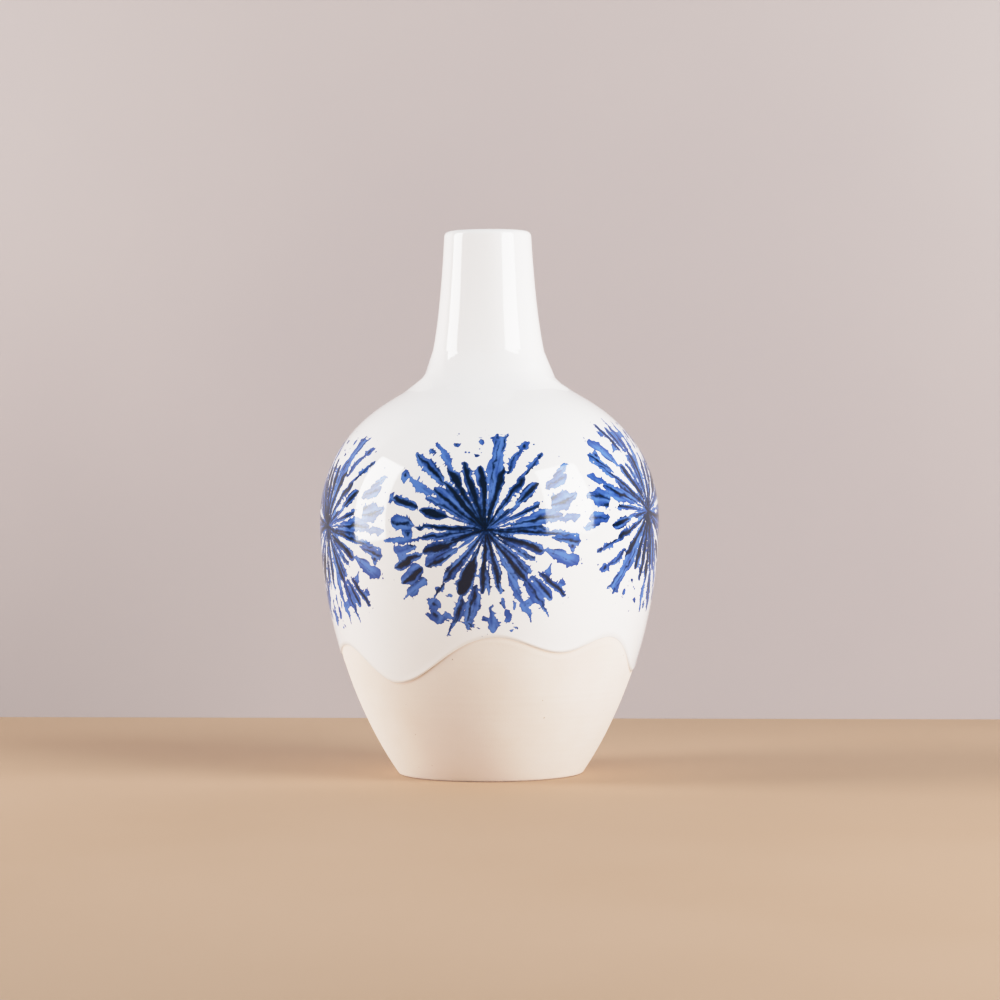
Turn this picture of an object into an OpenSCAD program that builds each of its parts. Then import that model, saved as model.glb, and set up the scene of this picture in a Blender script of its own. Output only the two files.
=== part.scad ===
// Tall bottle vase in white stoneware: a round belly on a small foot and a long plain neck.
// The clay is one hollow pot. White glaze covers it down to a wavy edge, a second glaze lines
// the inside, and five inky bursts sit on the glaze round the belly.
// Millimetres, +Z up. The origin is the centre of the foot, on the table. The front is -Y.

/* [Clay body] */
// Height of the clay, from the table to the top of the lip
body_h = 269.5; // [262:0.5:285]
// Radius of the foot, where the wall starts
foot_r = 46.2; // [42:0.1:51]
// Radius of the belly at its widest
belly_r = 83.9; // [78:0.1:90]
// Height of the widest part of the belly
belly_z = 126; // [120:1:132]
// Radius where the shoulder turns from round to hollow
shoulder_r = 50.2; // [47:0.1:54]
// Height where the shoulder turns from round to hollow
shoulder_z = 184.6; // [181:0.1:188]
// Radius of the neck at its bottom
neck_r = 28.8; // [26:0.1:31]
// Height of the bottom of the neck
neck_z = 204; // [201:0.5:207]
// Radius of the mouth, outside
mouth_r = 21.2; // [19:0.1:23]
// Thickness of the clay wall
wall = 4.5; // [3.5:0.1:5.5]
// Thickness of the floor
floor_t = 6.5; // [5:0.5:8]

/* [Foot] */
// Rounding of the foot's outer corner
foot_round = 1.8; // [1:0.1:2.5]
// Width of the ring that the vase stands on
ring_w = 7; // [5:0.5:10]
// Depth of the hollow under the foot
recess = 2.5; // [1.5:0.1:3.5]

/* [Glaze] */
// Thickness of the white glaze outside
glaze_t = 0.5; // [0.3:0.05:0.8]
// Thickness of the glaze inside
liner_t = 0.4; // [0.3:0.05:0.6]
// Lift of the whole wavy edge
edge_lift = 0; // [-10:1:10]

/* [Bursts] */
// Thickness of the colour on the glaze
ink_t = 0.15; // [0.1:0.05:0.3]
// Reach of the longest rays
burst_r = 46; // [35:1:47]
// Depth of the notches between rays, as a part of the reach
notch = 0.45; // [0.2:0.05:0.6]
// Number of rays in a burst
rays = 28; // [16:2:36]

/* [Hidden] */

// Steps along each span of the outline, round a corner, and round the wavy edge
span_steps = 14;
corner_steps = 6;
edge_steps = 96;
// Enough facets for the revolved pieces to look round in a preview
round_fn = 120;
// Slack by which a cutter runs past what it cuts, downwards and outwards
eps = 1;
clear_r = belly_r + 10;
// Height of shell that is cut away again below the wavy edge, and above and below a burst: more
// than one step of the outline
margin = 15;

// Stations of the clay outline: radius, height, lean from upright in degrees, and how far
// the curve holds that lean below and above the station
foot_lean = 34;
foot_corner_z = foot_round * (1 - sin(foot_lean));
lip_r = wall / 2;
stations = [
    [foot_r, foot_corner_z, foot_lean, 0, 44],
    [belly_r, belly_z, 0, 41, 34],
    [shoulder_r, shoulder_z, -58, 13.6, 12.8],
    [neck_r, neck_z, -17, 10.3, 15],
    [mouth_r, body_h - lip_r, -3, 17, 0]
];

// Heights of the wavy edge of the glaze: bearing from the front in degrees, and height
edge_keys = [[-67, 66], [-39, 49], [1.5, 72], [27, 64], [48, 70.5], [80, 51], [112, 68],
             [140, 54], [172, 71], [208, 56], [240, 69], [265, 58], [293, 66]];

// Centres of the bursts, from the front one on round to the right: bearing from the front in
// degrees, and height
burst_at = [[-1, 123.5], [67, 131], [142, 126], [217, 128], [291, 124]];

// Unit step along a lean, and the unit step square to it that points out of the pot
function along(lean) = [sin(lean), cos(lean)];

// Point and slope of a cubic Bezier curve
function bezier(p, t) = pow(1 - t, 3) * p[0] + 3 * pow(1 - t, 2) * t * p[1]
    + 3 * (1 - t) * t * t * p[2] + t * t * t * p[3];
function slope(p, t) = 3 * pow(1 - t, 2) * (p[1] - p[0])
    + 6 * (1 - t) * t * (p[2] - p[1]) + 3 * t * t * (p[3] - p[2]);

// The four Bezier points between two stations
function handles(a, b) = [
    [a[0], a[1]],
    [a[0], a[1]] + a[4] * along(a[2]),
    [b[0], b[1]] - b[3] * along(b[2]),
    [b[0], b[1]]
];

// Point of a span pushed square out of the wall by a distance
function pushed(p, t, out) = let (s = slope(p, t))
    bezier(p, t) + out * [s[1], -s[0]] / norm(s);

// The outline from the foot up to the mouth, pushed out by a distance
function outline(out) = concat(
    [for (k = [0:len(stations) - 2])
        for (i = [0:span_steps - 1])
            pushed(handles(stations[k], stations[k + 1]), i / span_steps, out)],
    [pushed(handles(stations[3], stations[4]), 1, out)]
);

// Lists of points: from one step on, the same backwards, and those within some heights
function from_step(list, first) = [for (i = [first:len(list) - 1]) list[i]];
function reversed(list) = [for (i = [len(list) - 1:-1:0]) list[i]];
function above(list, z) = [for (p = list) if (p[1] > z) p];
function between(list, low, high) = [for (p = list) if (p[1] > low && p[1] < high) p];

// Arc about a centre from one bearing to another, in degrees from +X
function arc(centre, r, from, to, steps) =
    [for (i = [0:steps]) centre + r * [cos(from + (to - from) * i / steps),
                                      sin(from + (to - from) * i / steps)]];

// The lip: a half circle from the outside over to the inside, pushed out by a distance
mouth_lean = stations[4][2];
lip_centre = [mouth_r, body_h - lip_r] - lip_r * [cos(mouth_lean), -sin(mouth_lean)];
function lip(out) = arc(lip_centre, lip_r + out, -mouth_lean, 180 - mouth_lean, 2 * corner_steps);

// The inside: the wall down to the heel, which starts heel_step steps up the first span, then
// a bowl-shaped floor to the centre. The bowl holds the wall's lean for heel_pull and lies flat
// for floor_pull.
floor_z = recess + floor_t;
heel_step = 2;
heel_pull = 9;
floor_pull = 26;
function inside(in) = let (
        side = from_step(outline(-wall - in), heel_step),
        down = (side[0] - side[1]) / norm(side[0] - side[1]),
        centre = [0, floor_z + in],
        bowl = [side[0], side[0] + heel_pull * down, centre + [floor_pull, 0], centre])
    concat(reversed(side), [for (i = [1:2 * corner_steps]) bezier(bowl, i / (2 * corner_steps))]);

// Height of the wavy edge at a bearing: a half cosine from each key to the next
function edge_z(bearing) = let (
        turn = bearing < edge_keys[0][0] ? bearing + 360 : bearing,
        k = max([for (i = [0:len(edge_keys) - 2]) if (edge_keys[i][0] <= turn) i]),
        a = edge_keys[k],
        b = edge_keys[k + 1],
        t = (turn - a[0]) / (b[0] - a[0]))
    edge_lift + a[1] + (b[1] - a[1]) * (1 - cos(180 * t)) / 2;

// Everything below the wavy edge, as a ring that holds the wall inside it
module below_edge() {
    in_r = foot_r / 2;
    n = edge_steps;
    bearing = [for (i = [0:n - 1]) edge_keys[0][0] + 360 * i / n];
    points = [for (i = [0:n - 1]) for (corner = [[in_r, -eps], [clear_r, -eps],
                                                [clear_r, edge_z(bearing[i])],
                                                [in_r, edge_z(bearing[i])]])
        [corner[0] * sin(bearing[i]), -corner[0] * cos(bearing[i]), corner[1]]];
    faces = [for (i = [0:n - 1]) for (c = [0:3]) for (half = [0, 1])
        let (a = 4 * i + c,
             b = 4 * i + (c + 1) % 4,
             d = (4 * i + 4) % (4 * n) + c,
             e = (4 * i + 4) % (4 * n) + (c + 1) % 4)
        half == 0 ? [a, b, d] : [b, e, d]];
    polyhedron(points, faces, convexity = 8);
}

// The thrown and fired clay: wall, floor, foot ring and lip in one
module clay_body() {
    contact_r = foot_r - foot_round * cos(foot_lean);
    ring_r = contact_r - ring_w;
    corner = arc([contact_r, foot_round], foot_round, -90, -foot_lean, corner_steps);
    color("antiquewhite")
        rotate_extrude($fn = round_fn)
            polygon(concat(
                [[0, recess], [ring_r - recess, recess], [ring_r, 0]],
                corner,
                from_step(outline(0), 1),
                from_step(lip(0), 1),
                from_step(inside(0), 1)));
}

// The white coat outside: over the lip and down to the wavy edge
module outer_glaze() {
    low = min([for (k = edge_keys) k[1]]) + edge_lift - margin;
    color("white")
        difference() {
            rotate_extrude($fn = round_fn)
                polygon(concat(
                    above(outline(glaze_t), low),
                    from_step(lip(glaze_t), 1),
                    reversed(lip(0)),
                    from_step(reversed(above(outline(0), low)), 1)));
            below_edge();
        }
}

// The glaze inside, from the lip down over the floor
module liner_glaze() {
    color("ghostwhite")
        rotate_extrude($fn = round_fn)
            polygon(concat(inside(0), reversed(inside(liner_t))));
}

// Rays of one burst as a flat star, long and short in turn
module star() {
    points = [for (i = [0:2 * rays - 1])
        let (reach = burst_r * (0.94 + 0.06 * sin(131 * i)))
        (i % 2 == 0 ? reach : reach * notch) * [cos(180 * i / rays), sin(180 * i / rays)]];
    polygon(points);
}

// One burst: the star pressed onto the glaze at its place round the belly
module burst(index) {
    z = burst_at[index][1];
    low = z - burst_r - margin;
    high = z + burst_r + margin;
    color("midnightblue")
        rotate([0, 0, burst_at[index][0]])
            intersection() {
                rotate_extrude($fn = round_fn)
                    polygon(concat(
                        between(outline(glaze_t + ink_t), low, high),
                        reversed(between(outline(glaze_t), low, high))));
                translate([0, 0, z])
                    rotate([90, 0, 0])
                        linear_extrude(clear_r)
                            star();
            }
}

module burst_front() { burst(0); }
module burst_right() { burst(1); }
module burst_back_right() { burst(2); }
module burst_back_left() { burst(3); }
module burst_left() { burst(4); }

clay_body();
outer_glaze();
liner_glaze();
burst_front();
burst_right();
burst_back_right();
burst_back_left();
burst_left();
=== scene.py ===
# %% [markdown]
# A bottle vase in white stoneware. It has a round belly on a small foot and a long plain neck.
# Gloss white glaze covers it down to a wavy edge, the clay is bare below that, and five inky
# bursts sit round the belly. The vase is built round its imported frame: the frame fixes the size
# and the place of each piece, and every piece here is a finer surface in the same place.

# %% Load the frame
import math

import bpy
import numpy as np
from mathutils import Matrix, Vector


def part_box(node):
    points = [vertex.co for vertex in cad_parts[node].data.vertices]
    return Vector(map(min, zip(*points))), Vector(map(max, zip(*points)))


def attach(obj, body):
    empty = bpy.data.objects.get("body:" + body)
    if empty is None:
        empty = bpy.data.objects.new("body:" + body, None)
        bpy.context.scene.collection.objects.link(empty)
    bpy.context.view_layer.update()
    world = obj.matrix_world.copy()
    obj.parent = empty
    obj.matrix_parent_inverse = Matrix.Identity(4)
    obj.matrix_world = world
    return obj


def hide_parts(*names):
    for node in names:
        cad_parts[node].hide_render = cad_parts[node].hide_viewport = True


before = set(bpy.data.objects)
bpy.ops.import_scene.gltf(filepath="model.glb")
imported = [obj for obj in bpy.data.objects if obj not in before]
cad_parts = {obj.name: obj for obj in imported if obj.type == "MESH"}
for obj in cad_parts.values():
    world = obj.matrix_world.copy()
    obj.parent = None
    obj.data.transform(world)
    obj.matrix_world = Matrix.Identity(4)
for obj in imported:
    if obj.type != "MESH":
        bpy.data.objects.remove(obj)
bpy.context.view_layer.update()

MM = 0.001
scene = bpy.context.scene
print("frame nodes:", ", ".join(sorted(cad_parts)))

# %% [markdown]
# The camera stands 1.6 m in front of the vase, a little higher than the middle of the belly, and
# looks very slightly down. A long lens keeps the sides of the pot nearly parallel. A camera could
# be aimed with a Track To constraint, but plain angles are easier to read, and nothing has to
# follow them.

# %% Camera
CAMERA_BACK = 1604 * MM
CAMERA_SIDE = 5.5 * MM
CAMERA_HEIGHT = 166 * MM
LOOK_DOWN = math.radians(1.07)
ROLL = math.radians(0.35)
LENS_MM = 115.8
SENSOR_MM = 36.0

camera = bpy.data.objects.new("camera", bpy.data.cameras.new("camera"))
scene.collection.objects.link(camera)
camera.data.lens = LENS_MM
camera.data.sensor_width = SENSOR_MM
camera.data.dof.use_dof = False
camera.location = (CAMERA_SIDE, -CAMERA_BACK, CAMERA_HEIGHT)
camera.rotation_euler = (math.pi / 2 - LOOK_DOWN, ROLL, 0)
scene.camera = camera
print("camera: %.0f mm lens, %.2f m away" % (LENS_MM, CAMERA_BACK))

# %% [markdown]
# A potter's outline is a few stations with a smooth curve between them. Each station has a radius,
# a height, a lean from upright, and two pulls that say how long the curve keeps that lean below
# and above. The spans are cubic Bezier curves, as in the frame's own outline, so the finer surface
# lies on the frame. A lathed (Screw) curve would give the same pot, but with numpy the same
# outline also places the glaze edge and the bursts.

# %% Outline of the clay
WALL = 4.5 * MM
GLAZE = 0.5 * MM
LINER = 0.4 * MM
LIP = WALL / 2
FOOT_ROUND = 1.8 * MM
FOOT_LEAN = math.radians(34)
RECESS = 2.5 * MM
RING = 7 * MM
FLOOR = 9 * MM
CLAY_TALL = 269.5 * MM

STATIONS = [  # radius mm, height mm, lean degrees, pull below mm, pull above mm
    (46.2, FOOT_ROUND / MM * (1 - math.sin(FOOT_LEAN)), 34, 0, 44),
    (83.9, 126, 0, 41, 34),
    (50.2, 184.6, -58, 13.6, 12.8),
    (28.8, 204, -17, 10.3, 15),
    (21.2, (CLAY_TALL - LIP) / MM, -3, 17, 0),
]


def bezier(points, t):
    """Cubic Bezier: the four points weighted by (1-t)^3, 3(1-t)^2 t, 3(1-t) t^2 and t^3."""
    t = t[:, None]
    weights = ((1 - t) ** 3, 3 * (1 - t) ** 2 * t, 3 * (1 - t) * t**2, t**3)
    return sum(w * p for w, p in zip(weights, np.asarray(points, float)))


def outline(samples=400):
    """The clay's outline from foot to mouth as rows of radius and height, in metres."""
    spans = []
    for a, b in zip(STATIONS[:-1], STATIONS[1:]):
        lean_a, lean_b = math.radians(a[2]), math.radians(b[2])
        start, end = np.array(a[:2], float), np.array(b[:2], float)
        out_a = np.array([math.sin(lean_a), math.cos(lean_a)]) * a[4]
        in_b = np.array([math.sin(lean_b), math.cos(lean_b)]) * b[3]
        points = (start, start + out_a, end - in_b, end)
        spans.append(bezier(points, np.linspace(0, 1, samples)[:-1]))
    spans.append(np.array([STATIONS[-1][:2]], float))
    return np.concatenate(spans) * MM


LINE = outline()
STEPS = np.hypot(*np.diff(LINE, axis=0).T)
RUN = np.concatenate([[0], np.cumsum(STEPS)])  # distance walked up the wall from the foot
SLOPE = np.gradient(LINE, RUN, axis=0)
OUTWARD = np.stack([SLOPE[:, 1], -SLOPE[:, 0]], 1)
OUTWARD /= np.hypot(*OUTWARD.T)[:, None]
TOP_RUN = RUN[-1]


def wall_at(run):
    """Radius, height and outward direction (two parts) of the clay at a distance up the wall."""
    return [np.interp(run, RUN, column) for column in (*LINE.T, *OUTWARD.T)]


def run_at(height):
    """Distance up the wall of a height."""
    return np.interp(height, LINE[:, 1], RUN)


def on_pot(bearing, run, out):
    """Point of the pot: the outline pushed square out of the wall by out, then turned by the
    bearing, which is 0 at the front (-Y) and grows to the right."""
    radius, height, n_r, n_z = wall_at(run)
    radius = radius + out * n_r
    parts = (radius * np.sin(bearing), -radius * np.cos(bearing), height + out * n_z)
    return np.stack(np.broadcast_arrays(*parts), -1)


clay_low, clay_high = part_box("clay_body")
print("belly radius: outline %.2f mm, frame %.2f mm" % (LINE[:, 0].max() / MM, clay_high.x / MM))
print("wall from foot to lip is %.1f mm long" % (TOP_RUN / MM))

# %% [markdown]
# Every new piece is a grid of points that closes on itself. One helper turns such a grid into a
# mesh, and a pole, the single point where a lathed surface meets its axis, closes an end. The
# helper checks that the faces point outwards by the sign of the volume that they enclose.

# %% Grid helpers
def add_mesh(name, points, *face_sets):
    """A mesh object from an array of points and arrays of faces, with smooth shading."""
    mesh = bpy.data.meshes.new(name)
    mesh.vertices.add(len(points))
    mesh.vertices.foreach_set("co", points.astype(np.float32).ravel())
    corners = np.concatenate([faces.ravel() for faces in face_sets])
    sizes = np.concatenate([np.full(len(faces), faces.shape[1]) for faces in face_sets])
    mesh.loops.add(len(corners))
    mesh.loops.foreach_set("vertex_index", corners.astype(np.int32))
    mesh.polygons.add(len(sizes))
    starts = np.concatenate([[0], np.cumsum(sizes)[:-1]])
    mesh.polygons.foreach_set("loop_start", starts.astype(np.int32))
    mesh.polygons.foreach_set("use_smooth", np.ones(len(sizes), bool))
    mesh.update(calc_edges=True)
    if mesh.validate():
        print("warning:", name, "had bad faces")
    piece = bpy.data.objects.new(name, mesh)
    scene.collection.objects.link(piece)
    return piece


def volume(points, triangles):
    """Signed volume of a closed surface: a sixth of the sum of a . (b x c) over its triangles."""
    a, b, c = (points[triangles[:, k]] for k in range(3))
    return np.einsum("ij,ij->i", a, np.cross(b, c)).sum() / 6


def lathe(name, grid, start_pole=None, end_pole=None):
    """A closed piece from rings of points, grid[ring, place round it]. The rings join into a tube,
    and each pole closes an end. With no poles, the last ring joins the first."""
    rings, places = grid.shape[:2]
    index = np.arange(rings * places).reshape(rings, places)
    if start_pole is None:
        index = np.concatenate([index, index[:1]])
    low, high = index[:-1], index[1:]
    quads = np.stack([low, np.roll(low, -1, 1), np.roll(high, -1, 1), high], -1).reshape(-1, 4)
    points = grid.reshape(-1, 3)
    sets = [quads]
    for pole, ring, order in ((start_pole, index[0], 1), (end_pole, index[-1], -1)):
        if pole is not None:
            tip = np.full(places, len(points))
            points = np.concatenate([points, [pole]])
            sets.append(np.stack([tip, np.roll(ring, -1), ring][::order], -1))
    halves = np.concatenate([quads[:, [0, 1, 2]], quads[:, [0, 2, 3]], *sets[1:]])
    if volume(points, halves) < 0:
        sets = [faces[:, ::-1] for faces in sets]
    piece = add_mesh(name, points, *sets)
    print("%s: %d points, %.1f cm3" % (name, len(points), abs(volume(points, halves)) * 1e6))
    return piece


def around(places):
    """Bearings of evenly spaced places round the pot."""
    return np.linspace(0, 2 * math.pi, places, endpoint=False)


def waves(bearing, run, seed, count, length):
    """A soft ripple on the pot between about -1 and 1: a sum of sine waves with seeded whole
    numbers of turns round the pot and seeded lengths of about the given length up it."""
    rng = np.random.default_rng(seed)
    total = 0
    for _ in range(count):
        turns = rng.integers(0, 7)
        pitch = length * rng.uniform(0.7, 1.6)
        phase = rng.uniform(0, 2 * math.pi)
        total = total + np.sin(turns * bearing + 2 * math.pi * run / pitch + phase)
    return total / math.sqrt(count)


# %% [markdown]
# The white glaze stops at a wavy line, where the foot was waxed before the pot was dipped. The
# line is a few crests and troughs with a half cosine from each to the next, so its heights are
# the same on the frame and here. It could be a curve object, but a function of the bearing lets
# the clay, the glaze and their shading all ask for the edge at any place.

# %% Wavy edge of the glaze
EDGE = [  # bearing in degrees, height mm
    (-67, 66), (-39, 49), (1.5, 72), (27, 64), (48, 70.5), (80, 51), (112, 68),
    (140, 54), (172, 71), (208, 56), (240, 69), (265, 58), (293, 66),
]


def edge_run(bearing):
    """Distance up the wall of the glaze edge at a bearing: from each key to the next, the height
    follows (1 - cos(pi t)) / 2."""
    keys, heights = np.array(EDGE, float).T
    turn = (np.degrees(bearing) - keys[0]) % 360 + keys[0]
    k = np.clip(np.searchsorted(keys, turn, side="right") - 1, 0, len(keys) - 2)
    t = (turn - keys[k]) / (keys[k + 1] - keys[k])
    height = heights[k] + (heights[k + 1] - heights[k]) * (1 - np.cos(math.pi * t)) / 2
    return run_at(height * MM)


print("glaze edge: %d crests and troughs" % (len(EDGE) - 1))

# %% [markdown]
# The clay is a hollow pot with a turned foot. It is one closed surface that starts under the foot,
# runs up the outside, over the lip and down the inside to the floor. The rings lie close together
# where the clay shows and wide apart where glaze hides it. Faint turning lines and a low ridge
# just under the glaze edge, where the wax was wiped, are real relief, because a bump map alone
# would leave the outline too clean.

# %% Clay body
PLACES = 288
RIDGE_BELOW = 2.4 * MM
RIDGE_WIDE = 0.7 * MM
RIDGE_HIGH = 0.11 * MM
SHOWN_TO = 78 * MM


def clay_relief(bearing, run):
    """Height of the clay's relief: turning lines, a slow wobble, and a ridge whose distance under
    the glaze edge breathes between about 1 and 4 mm."""
    lines = 0.012 * MM * waves(0.3 * np.sin(bearing), run, 3, 7, 3.2 * MM)
    wobble = 0.05 * MM * waves(bearing, run, 4, 5, 60 * MM)
    below = edge_run(bearing) - run
    gap = RIDGE_BELOW * (1 + 0.55 * np.sin(2 * bearing - 0.4))
    strength = 0.6 + 0.4 * np.sin(3 * bearing + 0.6)
    ridge = RIDGE_HIGH * strength * np.exp(-(((below - gap) / RIDGE_WIDE) ** 2))
    foot = np.clip(run / (4 * MM), 0, 1)
    hidden = np.clip((below + 1 * MM) / (1 * MM), 0, 1)
    return (lines + wobble + ridge) * foot * hidden


def arc(centre, radius, start, end, steps):
    """Arc in the plane of radius and height, from one bearing to another, in degrees from +radius."""
    angle = np.radians(np.linspace(start, end, steps))
    return np.stack([centre[0] + radius * np.cos(angle), centre[1] + radius * np.sin(angle)], 1)


def turned(path, bearing):
    """Rings of points: a path of radius and height, turned to each bearing."""
    radius, height = path[:, 0, None], path[:, 1, None]
    parts = (radius * np.sin(bearing), -radius * np.cos(bearing), height)
    return np.stack(np.broadcast_arrays(*parts), -1)


def lip(out, start, end, steps):
    """The lip's half circle, pushed out by a distance, as a path of radius and height."""
    lean = math.radians(STATIONS[-1][2])
    mouth = np.array([STATIONS[-1][0], STATIONS[-1][1]]) * MM
    centre = mouth - LIP * np.array([math.cos(lean), -math.sin(lean)])
    return arc(centre, LIP + out, start - STATIONS[-1][2], end - STATIONS[-1][2], steps)


HEEL_RUN = run_at(17 * MM)
HEEL_PULL = 9 * MM
FLOOR_PULL = 26 * MM


def inside(in_by, steps):
    """The inside from the lip down to the heel, then a bowl to the centre of the floor."""
    run = np.linspace(TOP_RUN, HEEL_RUN, steps)
    radius, height, n_r, n_z = wall_at(run)
    wall = np.stack([radius - (WALL + in_by) * n_r, height - (WALL + in_by) * n_z], 1)
    down = (wall[-1] - wall[-2]) / np.hypot(*(wall[-1] - wall[-2]))
    centre = np.array([0, FLOOR + in_by])
    bowl = (wall[-1], wall[-1] + HEEL_PULL * down, centre + [FLOOR_PULL, 0], centre)
    return np.concatenate([wall, bezier(bowl, np.linspace(0, 1, 18)[1:])])


def make_clay():
    """The whole pot: recess and foot ring, outside wall with its relief, lip and inside."""
    bearing = around(PLACES)
    contact = STATIONS[0][0] * MM - FOOT_ROUND * math.cos(FOOT_LEAN)
    ring_in = contact - RING
    hollow = np.linspace([6 * MM, RECESS], [ring_in - 2 * RECESS, RECESS], 8)
    step = arc((ring_in - RECESS, 0), RECESS, 90, 8, 6)
    corner = arc((contact, FOOT_ROUND), FOOT_ROUND, -90, -34, 7)[:-1]
    under = np.concatenate([hollow, step, corner])
    shown = np.linspace(0, run_at(SHOWN_TO), 110)
    hidden = np.linspace(run_at(SHOWN_TO), TOP_RUN, 60)[1:]
    run = np.concatenate([shown, hidden])[:, None]
    outside = on_pot(bearing, run, clay_relief(bearing, run))
    back = np.concatenate([lip(0, 0, 180, 9)[1:-1], inside(0, 40)])
    grid = np.concatenate([turned(under, bearing), outside, turned(back[:-1], bearing)])
    return lathe("clay_body_fine", grid, (0, 0, RECESS), (0, 0, FLOOR))


clay = make_clay()

# %% [markdown]
# Glaze is glass that flowed in the kiln. It is an even coat on the wall and draws together into a
# thicker rounded bead at its lower edge. The bead is firm in some places and feathers out in
# others, as it does on a dipped pot. The coat is a closed shell: its rings follow the wavy edge at
# the bottom and level out higher up. Solidify on a cut sheet would leave a square, ragged edge
# here, and the bead is just what makes glaze look like glass.

# %% White glaze outside
BEAD = 0.75 * MM
BEAD_ROUND = 1.1 * MM
BEAD_REACH = 2.6 * MM
RIPPLE = 0.018 * MM
RIPPLE_LONG = 38 * MM
CALM = 12 * MM  # the ripple dies away over this distance below the mouth
EDGE_BAND = 6 * MM
TUCK = 0.4 * MM
GLAZE_PLACES = 384


def crispness(bearing):
    """How sharply the glaze ends at each bearing, from 0.05 (it feathers out) to 1 (a firm bead)."""
    swing = 0.35 * np.sin(7 * bearing + 4.87) + 0.25 * np.sin(3 * bearing + 2.09)
    return np.clip(0.5 + swing, 0.05, 1)


def glaze_height(bearing, run):
    """Thickness of the white coat: it rises as a quarter sine wave at the edge, swells to the bead
    and eases down to the plain coat, with a slow ripple that bends reflections and dies away at
    the mouth."""
    up = np.maximum(run - edge_run(bearing), 0)
    crisp = crispness(bearing)
    round_off = np.sin(math.pi / 2 * np.clip(up / (BEAD_ROUND * (3 - 2 * crisp)), 0, 1))
    swell = (BEAD - GLAZE) * crisp * np.exp(-((up / BEAD_REACH) ** 2))
    calm = np.clip((TOP_RUN - run) / CALM, 0, 1)
    ripple = RIPPLE * waves(bearing, run, 11, 9, RIPPLE_LONG) * calm
    return round_off * (GLAZE + swell + ripple)


def glaze_runs(bearing):
    """Rings up the wall: close together in the bead, then evenly up the belly and neck, where they
    lose the wave of the edge little by little."""
    bead = BEAD_ROUND * np.linspace(0, 1, 9)
    near = np.linspace(BEAD_ROUND, EDGE_BAND, 12)[1:]
    above = np.concatenate([bead, near])[:, None]
    low = edge_run(bearing)[None, :] + above
    share = np.linspace(0, 1, 150)[1:, None]
    high = low[-1:] + share * (TOP_RUN - low[-1:])
    return np.concatenate([low, high])


def make_glaze():
    """The closed coat: out of the edge, up the wall, over the lip, and back down on the clay."""
    bearing = around(GLAZE_PLACES)[None, :]
    run = glaze_runs(bearing[0])
    outer = on_pot(bearing, run, glaze_height(bearing, run))
    over = lip(GLAZE, 0, 180, 13)[1:]
    under = lip(0, 180, 0, 7)
    inner_run = np.linspace(run[-1], run[0] + TUCK, 14)[1:]
    inner = on_pot(bearing, inner_run, 0 * inner_run)
    grid = np.concatenate([outer, turned(over, bearing[0]), turned(under, bearing[0]), inner])
    return lathe("outer_glaze_fine", grid)


white = make_glaze()

# %% [markdown]
# The inside is glazed too, so that the vase holds water. This coat is poured in, swirled and
# poured out, and it meets the outer coat at the lip. It is a thin closed bag of two lathed
# surfaces a coat apart.

# %% Glaze inside
def make_liner():
    """The closed coat inside, from the floor up to the lip and back down on the clay."""
    bearing = around(192)
    front = inside(LINER, 70)[::-1]
    back = inside(0, 40)
    grid = np.concatenate([turned(front[1:], bearing), turned(back[:-1], bearing)])
    return lathe("liner_glaze_fine", grid, (0, 0, FLOOR + LINER), (0, 0, FLOOR))


liner = make_liner()

# %% [markdown]
# A burst is one printed transfer, used five times. It is built as an ink field: a number at each
# point of a flat sheet that is positive where there is ink, and that says how far inside the ink
# the point lies. Rays are long petals from the centre, blots are short ovals at their ends, and
# the ink is wherever any of them is. Drawing each petal as a mesh would leave hundreds of tangled
# pieces, while one field melts them together as wet ink does.

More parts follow.
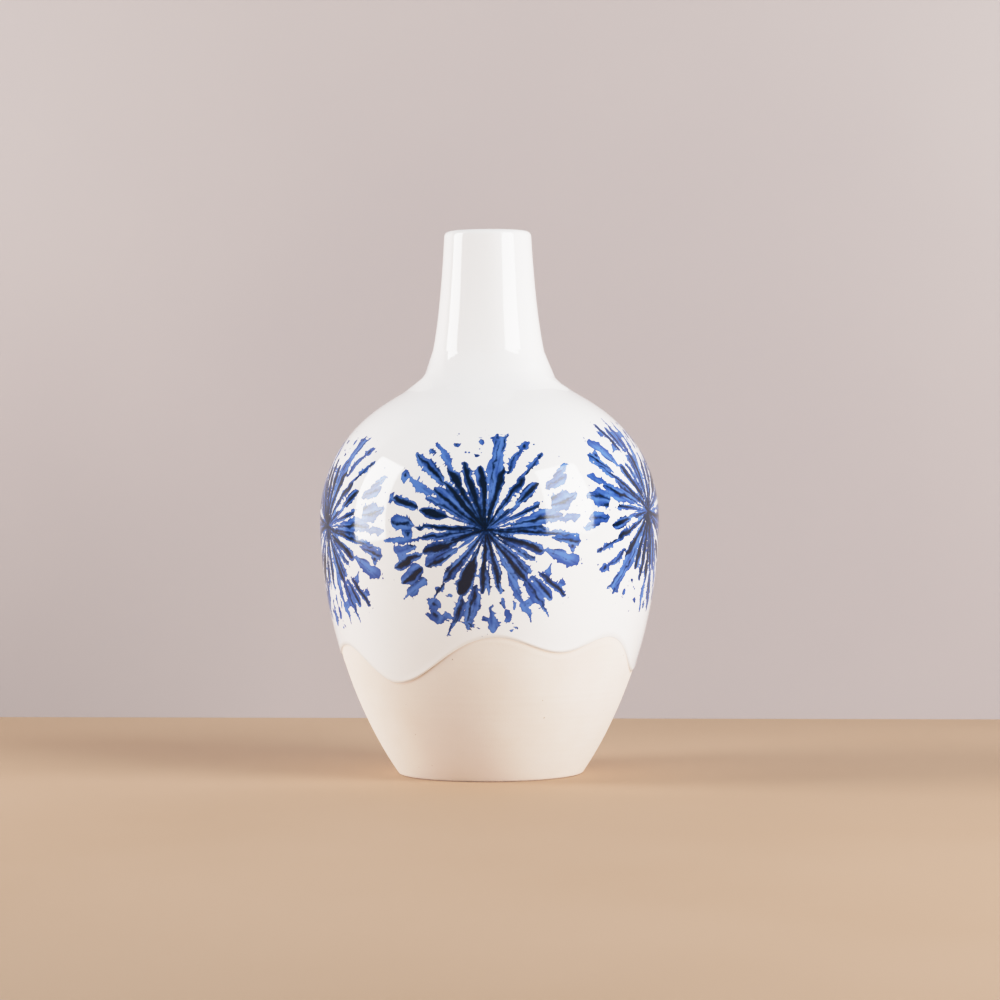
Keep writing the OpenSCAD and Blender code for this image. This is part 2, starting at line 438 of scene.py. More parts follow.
# %% Rays and blots of the transfer
RAYS = [  # bearing (degrees, anticlockwise from the right), start, end, half-width (mm),
    # fullest place along it, navy core's share of the width, core's lean to the left edge
    (2, 0, 30, 1.2, 0.6, 0.6, 0), (12, 12, 38, 2.8, 0.6, 0.4, -0.2), (25, 0, 31, 1.1, 0.7, 0.1, 0),
    (8, 35, 47, 1.5, 0.5, 0.1, 0), (20, 33, 48, 3.0, 0.5, 0.3, 0), (33, 35, 47, 2.5, 0.5, 0.2, 0),
    (38, 40, 50, 1.5, 0.6, 0.3, 0), (38, 0, 22, 1.0, 0.5, 0.6, 0),
    (41, 19, 34, 2.3, 0.6, 0.6, -0.5), (54, 0, 32, 1.7, 0.85, 0.7, 0), (55, 31, 44, 1.2, 0.5, 0, 0),
    (55, 42, 47, 1.1, 0.5, 0.8, 0), (68, 29, 46, 1.4, 0.4, 0.4, 0.3),
    (74, 0, 32, 1.9, 0.75, 0.8, -0.2), (81, 8, 46, 2.9, 0.65, 0.25, 0.2),
    (78, 38, 50, 0.9, 0.5, 0.8, 0), (84, 38, 49, 0.8, 0.5, 0.4, 0),
    (94, 0, 31, 2.1, 0.85, 0.75, -0.4), (108, 0, 34, 1.9, 0.75, 0.85, 0),
    (119, 33, 49, 1.7, 0.4, 0.15, 0), (121, 0, 28, 1.3, 0.7, 0.8, 0),
    (121, 23, 34, 2.2, 0.5, 0.9, 0), (131, 0, 31, 1.9, 0.6, 0.8, 0),
    (132, 29, 52, 2.5, 0.5, 0.45, 0), (141, 0, 33, 2.4, 0.7, 0.45, 0.7),
    (151, 0, 33, 1.6, 0.75, 0.25, 0.2), (146, 31, 46, 1.6, 0.4, 0.1, 0),
    (162, 0, 21, 0.7, 0.5, 0.6, 0), (163, 19, 34, 2.1, 0.5, 0.75, 0),
    (162, 35, 49, 2.3, 0.5, 0.65, -0.3), (176, 34, 48, 2.7, 0.6, 0.4, 0.1),
    (178, 0, 35, 1.2, 0.6, 0.85, 0), (188, 0, 32, 1.4, 0.7, 0.5, -0.3),
    (187, 31, 53, 1.3, 0.6, 0, 0), (193, 35, 48, 1.9, 0.6, 0, 0), (197, 0, 20, 1.4, 0.6, 0.7, 0),
    (200, 10, 33, 2.3, 0.7, 0.8, 0.3), (201, 33, 50, 2.3, 0.55, 0.7, 0.2),
    (211, 16, 34, 2.8, 0.6, 0.45, 0.8), (211, 36, 49, 3.5, 0.45, 0.45, 0.3),
    (219, 37, 51, 2.2, 0.6, 0.1, 0), (219, 47, 54, 0.5, 0.5, 0, 0), (231, 0, 32, 2.0, 0.8, 0.5, 0),
    (233, 30, 41, 0.8, 0.5, 0, 0), (248, 12, 33, 3.1, 0.6, 0.9, 0), (246, 0, 20, 1.1, 0.6, 0.6, 0),
    (250, 30, 55, 0.9, 0.5, 0.6, 0), (251, 34, 47, 2.0, 0.5, 0.5, 0.3),
    (259, 26, 49, 2.5, 0.5, 0.4, -0.2), (266, 0, 31, 1.5, 0.7, 0.8, 0),
    (271, 0, 32, 1.0, 0.7, 0, 0), (283, 0, 32, 1.6, 0.7, 0.8, 0), (274, 40, 50, 1.9, 0.5, 0, 0),
    (273, 36, 41, 0.6, 0.5, 0.5, 0), (283, 34, 39, 1.0, 0.4, 0.3, 0), (284, 39, 45, 1.5, 0.5, 0, 0),
    (290, 36, 40, 0.7, 0.5, 0.3, 0), (296, 22, 50, 1.3, 0.5, 0.1, 0),
    (308, 0, 32, 2.4, 0.7, 0.55, -0.2), (299, 12, 33, 1.5, 0.5, 0.3, 0),
    (307, 29, 46, 2.2, 0.6, 0.3, 0.2), (306, 44, 52, 0.6, 0.3, 0.8, 0),
    (314, 30, 46, 2.3, 0.6, 0.35, 0), (316, 0, 30, 1.4, 0.7, 0.5, 0),
    (321, 31, 52, 1.4, 0.6, 0.6, 0), (327, 0, 29, 1.2, 0.7, 0.6, 0),
    (339, 0, 31, 1.9, 0.8, 0.7, 0.3), (340, 30, 48, 2.0, 0.6, 0.15, 0),
    (353, 32, 48, 1.8, 0.6, 0.5, 0), (357, 0, 45, 1.6, 0.5, 0.6, 0),
]
BLOTS = [  # bearing (degrees), reach, half-length out, half-width across (mm), navy share
    (66, 46, 2.6, 2.0, 0.4), (83, 46, 1.5, 3.0, 0.4), (93, 44, 1.7, 1.7, 0),
    (97, 35.5, 1.3, 1.4, 0.5), (108, 44, 1.5, 2.0, 0), (125, 46, 1.6, 1.6, 0),
    (148, 38, 2.4, 2.2, 0), (147, 47.5, 2.6, 3.0, 0.45), (162, 49.5, 1.3, 3.6, 0),
    (183, 38, 2.6, 4.0, 0.6), (231, 37, 2.2, 2.0, 0), (235, 44, 3.2, 4.2, 0.35),
    (236, 50, 1.5, 3.2, 0.2), (242, 35.5, 1.2, 1.2, 0.2), (245, 45.5, 2.2, 1.5, 0),
    (260, 46.5, 1.3, 3.6, 0.6), (284, 49.5, 0.5, 0.6, 0.5), (287, 48.7, 0.5, 0.5, 0.5),
    (300, 40, 1.8, 2.8, 0.4), (325, 44.5, 2.4, 2.0, 0), (326, 36, 1.5, 2.4, 0),
    (342, 45, 3.4, 2.4, 0), (350, 43, 2.4, 3.4, 0.45), (240, 48, 2.2, 4.0, 0.35),
    (269, 43, 1.4, 2.0, 0.2), (196, 44, 3.0, 2.4, 0.2), (218, 44, 2.4, 2.4, 0),
]
print("transfer: %d rays and %d blots" % (len(RAYS), len(BLOTS)))

# %% [markdown]
# A clean field would look like cut paper. Real ink creeps: its edges wander and fray, it throws
# off drops, and it leaves slits between the rays. So the sheet is warped a little before the
# petals are read, and then noise works on the edge: fine noise frays it, noise stretched across
# the rays gives barbs and nicks, and noise stretched along them gives slits, veins and streaks.
# The noise is random values on a lattice with smooth steps between, and each use has its own
# seed, so the print comes out the same every time.

# %% Ink field
SHEET = 58.0  # half the sheet's side, mm
CELL = 0.36  # grid spacing, mm
NO_INK = -9.0
ROOT = 0.55  # share of its width that a petal keeps at the centre
WIDER = 1.25  # how far the wet ink spreads each petal
LATTICE = 512


def mottle(x, y, size, seed):
    """Smooth noise from -1 to 1: seeded random values on a square lattice of the given size, with
    t^2 (3 - 2t) steps between neighbours."""
    values = np.random.default_rng(seed).uniform(-1, 1, (LATTICE, LATTICE))
    u, v = x / size, y / size
    i, j = np.floor(u).astype(int), np.floor(v).astype(int)
    s, t = u - i, v - j
    s, t = s * s * (3 - 2 * s), t * t * (3 - 2 * t)
    here, there, under, over = (k % LATTICE for k in (i, i + 1, j, j + 1))
    low = values[here, under] * (1 - s) + values[there, under] * s
    high = values[here, over] * (1 - s) + values[there, over] * s
    return low * (1 - t) + high * t


def ray_field(x, y, bearing, start, end, half, fullest, core, lean):
    """Ink and core fields of one petal. Its half-width along its length t is half sin(pi t^k)^0.5,
    with k set so that it is fullest at the given place, and the field is that half-width less the
    distance from its middle line. A petal that starts at the centre keeps part of its width
    there. The core does the same with its own share and lean."""
    angle = math.radians(bearing)
    along = x * math.cos(angle) + y * math.sin(angle)
    across = y * math.cos(angle) - x * math.sin(angle)
    held = np.clip(along, start, end)
    t = (held - start) / (end - start)
    k = math.log(0.5) / math.log(fullest)
    swell = np.sin(math.pi * np.clip(t, 1e-4, 1 - 1e-4) ** k) ** 0.5
    if start == 0:
        swell = np.where(t < fullest, ROOT + (1 - ROOT) * swell, swell)
    width = half * WIDER * swell
    ink = width - np.hypot(across, along - held)
    if core == 0:
        return ink, np.full_like(ink, NO_INK)
    middle = lean * width * (1 - core)
    return ink, width * core - np.hypot(across - middle, along - held) - 0.1


def blot_field(x, y, bearing, reach, out, wide, core):
    """Ink and core fields of one oval: (1 - distance from its centre in half-sizes) times its
    smaller half-size."""
    angle = math.radians(bearing)
    along = x * math.cos(angle) + y * math.sin(angle) - reach
    across = y * math.cos(angle) - x * math.sin(angle)
    size = np.hypot(along / out, across / wide)
    ink = (1 - size) * min(out, wide)
    return ink, (core - size) * min(out, wide) if core else np.full_like(ink, NO_INK)


def drops(x, y, count, seed):
    """Fine drops thrown round the rim, 0.2 to 0.6 mm in radius: radius less distance from each."""
    rng = np.random.default_rng(seed)
    field = np.full_like(x, NO_INK)
    for _ in range(count):
        angle, reach = rng.uniform(0, 2 * math.pi), rng.triangular(28, 48, 54)
        size = 0.22 + 0.4 * rng.random() ** 3
        away = np.hypot(x - reach * math.cos(angle), y - reach * math.sin(angle))
        field = np.maximum(field, size - away)
    return field


def ink_fields(x, y):
    """Ink, core and streak fields of the whole transfer at points of the sheet, in mm."""
    reach, bearing = np.hypot(x, y), np.degrees(np.arctan2(y, x))
    loose = np.clip((reach - 16) / 16, 0, 1)
    slow, quick = 0.5 + 0.3 * loose, 0.15 + 0.75 * loose
    warp_x = x + slow * mottle(x, y, 9, 1) + quick * mottle(x, y, 3.2, 2)
    warp_x = warp_x + 0.2 * mottle(x, y, 1.3, 13)
    warp_y = y + slow * mottle(x, y, 9, 3) + quick * mottle(x, y, 3.2, 4)
    warp_y = warp_y + 0.2 * mottle(x, y, 1.3, 14)
    ink, core = np.full_like(x, NO_INK), np.full_like(x, NO_INK)
    for shape, rows in ((ray_field, RAYS), (blot_field, BLOTS)):
        for row in rows:
            one_ink, one_core = shape(warp_x, warp_y, *row)
            ink, core = np.maximum(ink, one_ink), np.maximum(core, one_core)
    streak = mottle(bearing / 3.0, reach / 10, 1, 5) + 0.7 * mottle(bearing / 1.3, reach / 7, 1, 6)
    round_the_ring = np.radians(bearing) * reach
    pool = 9.5 + 5.5 * mottle(bearing, 0 * reach, 7, 15) + 3 * mottle(bearing, 0 * reach, 2.6, 16)
    ink = np.maximum(ink, np.clip(pool - reach, NO_INK, 0.6))
    frayed = 0.14 + 0.16 * loose
    ink = ink + frayed * (mottle(x, y, 1.1, 7) + 0.8 * mottle(x, y, 0.6, 8))
    barbs = np.clip(mottle(reach / 0.8, round_the_ring / 3, 1, 17) - 0.4, 0, 1)
    nicks = np.clip(mottle(reach / 0.8, round_the_ring / 3, 1, 18) - 0.5, 0, 1)
    ink = ink + (2.4 * barbs - 1.6 * nicks) * np.clip(reach / 26, 0, 1)
    slits = np.clip(mottle(bearing / 2.4, reach / 8, 1, 9) - 0.3, 0, 1) * 3.4
    ink = ink - slits * np.clip(1.5 - np.abs(reach - 12) / 8, 0, 1) * (core < 0)
    gaps = np.clip(mottle(bearing / 4, reach / 3, 1, 20) - 0.5, 0, 1)
    ink = ink - 3.5 * gaps * np.clip(1.2 - np.abs(reach - 7) / 5, 0, 1)
    veins = mottle(bearing / 1.8, reach / 12, 1, 19) - 0.36
    veins = veins - 0.3 * np.clip((reach - 30) / 12, 0, 1)
    hairline = 0.5 - 4 * np.abs(mottle(bearing / 3.5, reach / 16, 1, 22) + 0.15) - reach / 70
    core = np.maximum(core, 1.3 * np.maximum(veins, hairline) - 0.05)
    core = core + 0.3 * streak + 0.3 * mottle(x, y, 1.3, 10)
    core = core - 0.22 * np.clip((reach - 4) / 10, 0, 1)
    return np.maximum(ink, drops(x, y, 64, 12)), core, streak


side = np.arange(-SHEET, SHEET + CELL, CELL)
sheet_x, sheet_y = (part.ravel() for part in np.meshgrid(side, side, indexing="ij"))
INK, CORE, STREAK = ink_fields(sheet_x, sheet_y)
print("ink covers %.0f cm2 of the sheet" % (np.sum(INK > 0) * CELL**2 / 100))

# %% [markdown]
# The ink's outline is where the field is zero. The sheet is a grid of small triangles. One that
# lies wholly in the ink stays, and one that the outline crosses is cut along it, so the edge is
# smooth even between grid points. A Boolean would do this too, but slowly and less cleanly.

# %% Cut the transfer out of the sheet
def cut_out(field, columns):
    """Triangles of a square grid where the field is positive. Returns the triangles, and for each
    new corner on the outline the two grid points it lies between and its share of the way."""
    index = np.arange(len(field)).reshape(-1, columns)
    a, b, c, d = index[:-1, :-1], index[1:, :-1], index[1:, 1:], index[:-1, 1:]
    tris = np.concatenate([np.stack([a, b, c], -1), np.stack([a, c, d], -1)]).reshape(-1, 3)
    inside_now = field[tris] > 0
    count = inside_now.sum(1)
    whole = tris[count == 3]

    def led_by(chosen, leader):
        """The chosen triangles, turned so that the corner that is alone comes first."""
        first = np.argmax(inside_now[chosen] == leader, axis=1)
        order = (first[:, None] + np.arange(3)) % 3
        return np.take_along_axis(tris[chosen], order, 1)

    one, two = led_by(count == 1, True), led_by(count == 2, False)
    pairs = np.concatenate([one[:, [0, 1]], one[:, [0, 2]], two[:, [0, 1]], two[:, [0, 2]]])
    edges, which = np.unique(np.sort(pairs, 1), axis=0, return_inverse=True)
    which = which.ravel() + len(field)
    share = field[edges[:, 0]] / (field[edges[:, 0]] - field[edges[:, 1]])
    p, q, r, s = np.split(which, np.cumsum([len(one), len(one), len(two)]))
    small = np.stack([one[:, 0], p, q], 1)
    left = np.stack([r, two[:, 1], two[:, 2]], 1)
    right = np.stack([r, two[:, 2], s], 1)
    return np.concatenate([whole, small, left, right]), edges, share


triangles, crossed, share = cut_out(INK, len(side))


def with_outline(values):
    """Values at the grid points, followed by those at the outline's new corners."""
    start, end = values[crossed].T
    return np.concatenate([values, start * (1 - share) + end * share])


used, local = np.unique(triangles, return_inverse=True)
PRINT_TRIS = local.reshape(-1, 3)
PRINT_X, PRINT_Y = with_outline(sheet_x)[used], with_outline(sheet_y)[used]
PRINT_INK, PRINT_CORE = with_outline(INK)[used], with_outline(CORE)[used]
PRINT_STREAK = with_outline(STREAK)[used]
ON_OUTLINE = used >= len(INK)
PRINT_INK = np.where(ON_OUTLINE, 0, PRINT_INK)
print("transfer: %d points, %d triangles" % (len(used), len(PRINT_TRIS)))

# %% [markdown]
# A wet transfer is laid on the fired glaze and wraps both ways round the belly. Up and down it
# keeps its length along the wall, and sideways along the level ring that it lies on. Each print is
# a thin lens of ink: its top swells from the outline like a drying drop, its underside sinks into
# the glaze, and the two share the outline, so the piece is closed. The top borrows the wall's own
# direction for its shading, so that reflections run on from glaze to ink without a seam.

# %% Lay the five bursts on the glaze
INK_RISE = 0.045 * MM
INK_EDGE = 0.012 * MM
INK_SINK = 0.03 * MM
SWELL_WITHIN = 0.5  # mm from the outline
BURSTS = [  # node, bearing of its centre degrees, height of its centre mm, turn of the print degrees
    ("burst_front", -1, 123.5, 0),
    ("burst_right", 67, 131, 150),
    ("burst_back_right", 142, 126, 64),
    ("burst_back_left", 217, 128, 215),
    ("burst_left", 291, 124, -9),
]


def lay_burst(name, centre, height, turn):
    """One burst. The sheet is turned, its x is read as distance round the ring at each height, and
    its y as distance up the wall from the centre. The ink rises by 1 - exp(-distance in)."""
    angle = math.radians(turn)
    across = (PRINT_X * math.cos(angle) - PRINT_Y * math.sin(angle)) * MM
    run = run_at(height * MM) + (PRINT_X * math.sin(angle) + PRINT_Y * math.cos(angle)) * MM
    bearing = math.radians(centre) + across / wall_at(run)[0]
    coat = glaze_height(bearing, run)
    swell = INK_RISE * (1 - np.exp(-PRINT_INK / SWELL_WITHIN))
    top = on_pot(bearing, run, coat + INK_EDGE + swell)
    under = on_pot(bearing, run, coat - INK_SINK)
    inner = np.flatnonzero(~ON_OUTLINE)
    below = np.arange(len(top))
    below[inner] = len(top) + np.arange(len(inner))
    points = np.concatenate([top, under[inner]])
    piece = add_mesh(name + "_print", points, PRINT_TRIS, below[PRINT_TRIS][:, ::-1])
    radius, _, n_r, n_z = wall_at(run)
    normal = np.stack([n_r * np.sin(bearing), -n_r * np.cos(bearing), n_z], -1)
    corner_normals = np.concatenate(
        [normal[PRINT_TRIS].reshape(-1, 3), -normal[PRINT_TRIS][:, ::-1].reshape(-1, 3)]
    )
    piece.data.normals_split_custom_set(corner_normals)
    for label, values in (("ink", PRINT_INK), ("core", PRINT_CORE), ("streak", PRINT_STREAK)):
        layer = piece.data.attributes.new(label, "FLOAT", "POINT")
        layer.data.foreach_set("value", np.concatenate([values, values[inner]]).astype(np.float32))
    flat = np.stack([PRINT_X, PRINT_Y], 1) / (2 * SHEET) + 0.5
    corners = PRINT_TRIS.ravel()
    uv = np.concatenate([flat[corners], flat[PRINT_TRIS[:, ::-1].ravel()]])
    piece.data.uv_layers.new(name="sheet").data.foreach_set("uv", uv.astype(np.float32).ravel())
    print("%s: %d triangles" % (piece.name, 2 * len(PRINT_TRIS)))
    return piece


bursts = {row[0]: lay_burst(*row) for row in BURSTS}

# %% [markdown]
# Materials are built from nodes, and small helpers keep each one short: one adds a node and wires
# its inputs, one turns a colour as seen on a screen into the linear light that the shader adds up.

# %% Material helpers
def shade(red, green, blue):
    """A colour from screen values of 0 to 255, as linear light."""
    parts = np.array([red, green, blue]) / 255
    linear = np.where(parts <= 0.04045, parts / 12.92, ((parts + 0.055) / 1.055) ** 2.4)
    return (*linear, 1.0)


class Nodes:
    """A new material's node tree, with a Principled shader ready in it."""

    def __init__(self, name):
        self.material = bpy.data.materials.new(name)
        self.material.use_nodes = True
        self.tree = self.material.node_tree
        self.shader = self.tree.nodes["Principled BSDF"]

    def put(self, socket, value):
        """Wire an output into a socket, or set the socket to a number or colour."""
        if isinstance(value, bpy.types.NodeSocket):
            self.tree.links.new(value, socket)
        else:
            socket.default_value = value

    def add(self, kind, inputs=(), **settings):
        """A node of a kind. Inputs are pairs of socket name or number and value."""
        node = self.tree.nodes.new(kind)
        for key, value in settings.items():
            setattr(node, key, value)
        for key, value in inputs:
            self.put(node.inputs[key], value)
        return node

    def noise(self, scale, detail, roughness, vector):
        """Soft random tones, more to the metre with a greater scale."""
        inputs = [("Scale", scale), ("Detail", detail), ("Roughness", roughness), ("Vector", vector)]
        return self.add("ShaderNodeTexNoise", inputs).outputs["Fac"]

    def math(self, operation, first, second=0.0):
        pairs = [(0, first), (1, second)]
        return self.add("ShaderNodeMath", pairs, operation=operation).outputs[0]

    def span(self, value, low, high, to_low=0.0, to_high=1.0):
        """A value mapped from one span to another, with soft ends."""
        pairs = [(0, value), (1, low), (2, high), (3, to_low), (4, to_high)]
        return self.add("ShaderNodeMapRange", pairs, interpolation_type="SMOOTHSTEP").outputs[0]

    def blend(self, amount, first, second):
        """A colour between two, by an amount from 0 to 1."""
        node = self.add("ShaderNodeMix", data_type="RGBA")
        self.put(node.inputs[0], amount)
        self.put(node.inputs[6], first)
        self.put(node.inputs[7], second)
        return node.outputs[2]

    def attribute(self, name):
        return self.add("ShaderNodeAttribute", attribute_name=name).outputs["Fac"]

    def place(self):
        return self.add("ShaderNodeTexCoord").outputs["Object"]

    def relief(self, height, distance):
        """A bump of a height field, with its depth in metres."""
        pairs = [("Height", height), ("Distance", distance), ("Strength", 1.0)]
        return self.add("ShaderNodeBump", pairs).outputs["Normal"]


def give(piece, material):
    """Makes a material the piece's only one."""
    piece.data.materials.clear()
    piece.data.materials.append(material)


# %% [markdown]
# The bare clay is a fine white stoneware, fired hard and left matt. It is a warm off-white with
# slow, soft changes of tone, a very fine tooth, and a few dark pinpoints of iron. A faint tan line
# of painted shade runs just under the glaze edge and stands for the shadow of the glaze bead. The
# line needs to know where the glaze stops, so the mesh carries that distance as an attribute. A
# painted texture would do as well, but it would have to be kept.

# %% Bare clay
TOOTH = 0.05 * MM


def mark_edge_distance(piece):
    """Attributes "below_edge", how far each point lies under the glaze edge in mm up the wall, and
    one for the strength of the painted shade line under the glaze bead, which comes and goes round
    the pot with the bead's firmness."""
    points = np.empty(len(piece.data.vertices) * 3, np.float32)
    piece.data.vertices.foreach_get("co", points)
    x, y, z = points.reshape(-1, 3).T.astype(float)
    bearing = np.arctan2(x, -y)
    below = (edge_run(bearing) - run_at(z)) / MM
    for label, values in (("below_edge", below), ("painted_bead_shade", crispness(bearing))):
        layer = piece.data.attributes.new(label, "FLOAT", "POINT")
        layer.data.foreach_set("value", values.astype(np.float32))


def clay_material():
    """Matt off-white with soft clouds, a painted shade line under the glaze edge, rare specks and a
    fine tooth.
    """
    n = Nodes("bare_clay")
    place = n.place()
    slow = n.span(n.noise(16.0, 2.0, 0.5, place), 0.35, 0.65)
    cloud = n.span(n.noise(55.0, 3.0, 0.55, place), 0.3, 0.7)
    tone = n.blend(slow, shade(238, 227, 219), shade(234, 221, 212))
    tone = n.blend(n.math("MULTIPLY", cloud, 0.35), tone, shade(241, 232, 226))
    specks = n.span(n.noise(700.0, 0.0, 0.5, place), 0.86, 0.90)
    tone = n.blend(n.math("MULTIPLY", specks, 0.6), tone, shade(150, 118, 92))
    # A tan line of painted shade just under the glaze edge, stronger where the bead is firm, stands
    # for the bead's shadow.
    below = n.attribute("below_edge")
    near = n.span(n.math("ABSOLUTE", below), 0.1, 1.6, 0.5, 0.0)
    tone = n.blend(n.math("MULTIPLY", n.attribute("painted_bead_shade"), near), tone, shade(202, 170, 150))
    n.put(n.shader.inputs["Base Color"], tone)
    n.put(n.shader.inputs["Roughness"], n.span(n.noise(300.0, 2.0, 0.5, place), 0.3, 0.7, 0.72, 0.88))
    n.shader.inputs["Specular IOR Level"].default_value = 0.3
    n.put(n.shader.inputs["Normal"], n.relief(n.noise(1400.0, 3.0, 0.5, place), TOOTH))
    return n.material


mark_edge_distance(clay)
give(clay, clay_material())

# %% [markdown]
# The white glaze is an opaque gloss: a white body under a clear skin of glass. Its skin is never
# quite flat, so a very shallow bump lets reflections waver, and its white drifts by a shade where
# it lies thicker. Roughness stays low but not zero, for a fired and not a wet look. Clear coat
# over a rough white would work too, but one Principled layer bakes more simply.

# %% White glaze
GLASS_IOR = 1.52
SKIN = 0.04 * MM


def glaze_material(name, light, deep):
    """An opaque gloss white that drifts between two near tones."""
    n = Nodes(name)
    place = n.place()
    pool = n.span(n.noise(9.0, 2.0, 0.5, place), 0.35, 0.65)
    n.put(n.shader.inputs["Base Color"], n.blend(pool, light, deep))
    n.put(n.shader.inputs["Roughness"], n.span(n.noise(40.0, 2.0, 0.5, place), 0.3, 0.7, 0.05, 0.09))
    n.shader.inputs["IOR"].default_value = GLASS_IOR
    n.put(n.shader.inputs["Normal"], n.relief(n.noise(60.0, 1.0, 0.4, place), SKIN))
    return n.material


give(white, glaze_material("white_glaze", shade(245, 245, 246), shade(242, 242, 243)))
give(liner, glaze_material("liner_glaze", shade(240, 239, 237), shade(235, 234, 231)))

# %% [markdown]
# The ink is cobalt in three strengths: a mid-blue wash, a navy that is almost black where it lies
# thick, and a thin dark line where the wash dried at its edge. The two fields that cut the print
# also colour it: the core field says where the navy is, and the ink field says how near the edge
# is. Streaks run along the rays, because the ink was drawn outwards.

# %% Cobalt ink
def ink_material():
    """Wash, dried rim and navy, mixed by the print's own fields and a fine grain."""
    n = Nodes("blue_ink")
    uv = n.add("ShaderNodeUVMap", uv_map="sheet").outputs["UV"]
    core, ink, streak = n.attribute("core"), n.attribute("ink"), n.attribute("streak")
    grain = n.math("SUBTRACT", n.noise(110.0, 3.0, 0.6, uv), 0.5)
    thick = n.span(n.math("ADD", core, n.math("MULTIPLY", grain, 1.1)), -0.45, 0.4)
    wash = n.math("ADD", streak, n.math("MULTIPLY", n.noise(30.0, 2.0, 0.5, uv), 2.0))
    blue = n.blend(n.span(wash, 0.0, 1.9), shade(84, 125, 198), shade(44, 80, 156))
    rim = n.span(n.math("ADD", ink, n.math("MULTIPLY", grain, 0.5)), 0.08, 0.4, 0.5, 0.0)
    blue = n.blend(rim, blue, shade(24, 52, 120))
    navy = n.blend(n.span(core, 0.1, 0.9), shade(12, 44, 92), shade(0, 20, 44))
    n.put(n.shader.inputs["Base Color"], n.blend(thick, blue, navy))
    n.put(n.shader.inputs["Roughness"], n.span(thick, 0.0, 1.0, 0.07, 0.12))
    n.shader.inputs["IOR"].default_value = GLASS_IOR
    return n.material


cobalt = ink_material()
for piece in bursts.values():
    give(piece, cobalt)

# %% [markdown]
# Each fine piece stands for the frame's plain one of the same name and rides on the frame's one
# body. The frame's own pieces are then hidden.

# %% Tie the pieces to the frame
PIECES = [  # fine piece, frame node, finish
    (clay, "clay_body", "bare_clay"),
    (white, "outer_glaze", "white_glaze"),
    (liner, "liner_glaze", "liner_glaze"),
    *((piece, name, "blue_ink") for name, piece in bursts.items()),
]
for piece, node, finish in PIECES:
    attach(piece, "root")
    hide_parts(node)
print("tied %d pieces to the frame" % len(PIECES))

# %% [markdown]
# The stage is a pale floor with a plain painted wall close behind the vase. The wall's foot gives
# the quiet line behind the vase, and its soft grey-pink lets a white pot stand out. The floor is a
# little warm, so the bare clay near the foot picks up a blush from it. Both sheets are clear from
# their backs, so neither hides the vase when it is looked at from behind or from below. A single
# curved sweep would hide the line, but a glossy pot looks truer with a floor and a wall to mirror.

# %% Floor and wall
WALL_BEHIND = 313 * MM
WALL_SKEW = 290 * MM  # how much nearer its right end is than its middle
STAGE_WIDE = 6.0


def stage_sheet(name, corners, light, dark):
    """A flat four-cornered sheet with a soft two-tone mottle, clear from its back."""
    sheet = add_mesh(name, np.array(corners, float), np.array([[0, 1, 2, 3]]))
    n = Nodes(name)
    tone = n.span(n.noise(2.5, 3.0, 0.5, n.place()), 0.3, 0.7)
    n.put(n.shader.inputs["Base Color"], n.blend(tone, light, dark))
    n.shader.inputs["Roughness"].default_value = 0.75
    one_way = n.add("ShaderNodeMixShader")
    n.put(one_way.inputs["Fac"], n.add("ShaderNodeNewGeometry").outputs["Backfacing"])
    n.put(one_way.inputs[1], n.shader.outputs["BSDF"])
    n.put(one_way.inputs[2], n.add("ShaderNodeBsdfTransparent").outputs["BSDF"])
    n.put(n.tree.nodes["Material Output"].inputs["Surface"], one_way.outputs["Shader"])
    give(sheet, n.material)


half, near_end, far_end = STAGE_WIDE / 2, -STAGE_WIDE, STAGE_WIDE
left_foot = (-half, WALL_BEHIND + WALL_SKEW, 0)
right_foot = (half, WALL_BEHIND - WALL_SKEW, 0)
stage_sheet(
    "floor",
    [(-half, near_end, 0), (half, near_end, 0), (half, far_end, 0), (-half, far_end, 0)],
    shade(190, 161, 137),
    shade(184, 154, 129),
)
stage_sheet(
    "wall",
    [left_foot, right_foot, (*right_foot[:2], half), (*left_foot[:2], half)],
    shade(172, 164, 164),
    shade(167, 159, 160),
)

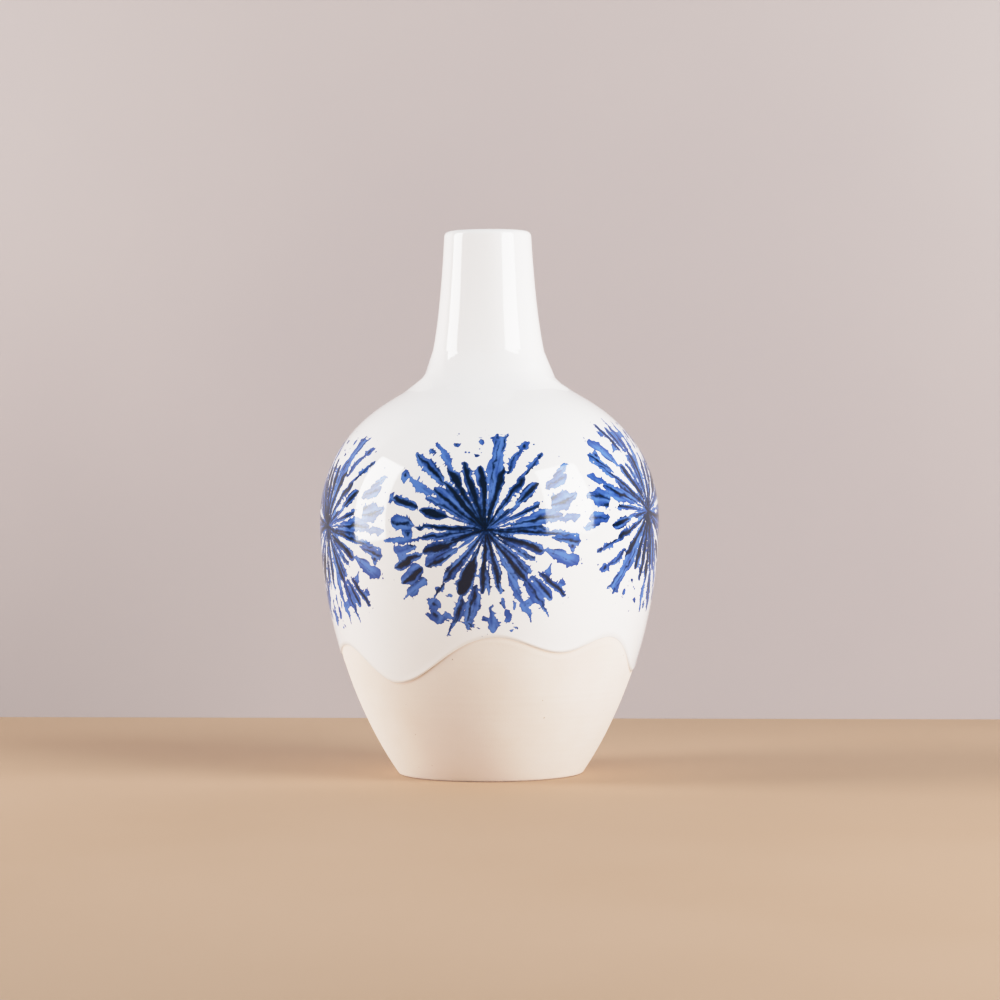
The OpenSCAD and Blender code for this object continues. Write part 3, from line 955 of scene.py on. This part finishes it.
# %% [markdown]
# Two tall soft boxes light the vase, as in a product studio: one square to its left and a wider
# one ahead and to its right. On gloss a light is seen as its own shape, so their size and place
# matter as much as their power: they are the two bright strips up the neck and the two patches on
# the belly. A pale sky all round fills the shadows.

# %% Lights
BOX_AWAY = 1.2
SKY = 0.15


def soft_box(name, bearing, wide, low, high, power, colour):
    """A rectangular light that faces the vase's axis from a bearing, between two heights."""
    lamp = bpy.data.lights.new(name, "AREA")
    lamp.shape = "RECTANGLE"
    lamp.size = wide
    lamp.size_y = high - low
    lamp.energy = power
    lamp.color = colour
    box = bpy.data.objects.new(name, lamp)
    scene.collection.objects.link(box)
    angle = math.radians(bearing)
    across, ahead = BOX_AWAY * math.sin(angle), BOX_AWAY * math.cos(angle)
    box.location = (across, -ahead, (low + high) / 2)
    box.rotation_euler = (math.pi / 2, 0, angle)
    print("%s: %.2f by %.2f m, %.0f W" % (name, wide, high - low, power))


soft_box("left_box", -85.5, 0.60, 0.02, 1.06, 22, (1.0, 0.985, 0.97))
soft_box("right_box", 54.5, 0.76, 0.05, 1.14, 27, (1.0, 0.995, 0.985))

world = bpy.data.worlds.new("pale_sky")
world.use_nodes = True
sky = world.node_tree.nodes["Background"]
sky.inputs["Color"].default_value = (1.0, 0.985, 0.97, 1)
sky.inputs["Strength"].default_value = SKY
scene.world = world

# %% [markdown]
# A camera does not let whites burn out: it presses the brightest tones together. Here a curve does
# that ahead of a plain Standard view. It leaves darks and middle tones as they are and folds light
# of up to four times white into the last steps, so that a white pot keeps its roundness. A ready
# view transform such as Filmic would grey the whites and dull the blues.

# %% Film curve
WHITEST = 4.0
FILM = [  # light, and what is shown of it
    (0.2, 0.2), (0.5, 0.5), (0.8, 0.715), (1.0, 0.8), (1.3, 0.88), (1.7, 0.935), (2.4, 0.975),
]

scene.view_settings.view_transform = "Standard"
scene.view_settings.use_curve_mapping = True
film = scene.view_settings.curve_mapping
film.white_level = (WHITEST, WHITEST, WHITEST)
for light, shown in FILM:
    film.curves[3].points.new(light / WHITEST, shown)
film.update()
print("film curve: %d points" % len(film.curves[3].points))
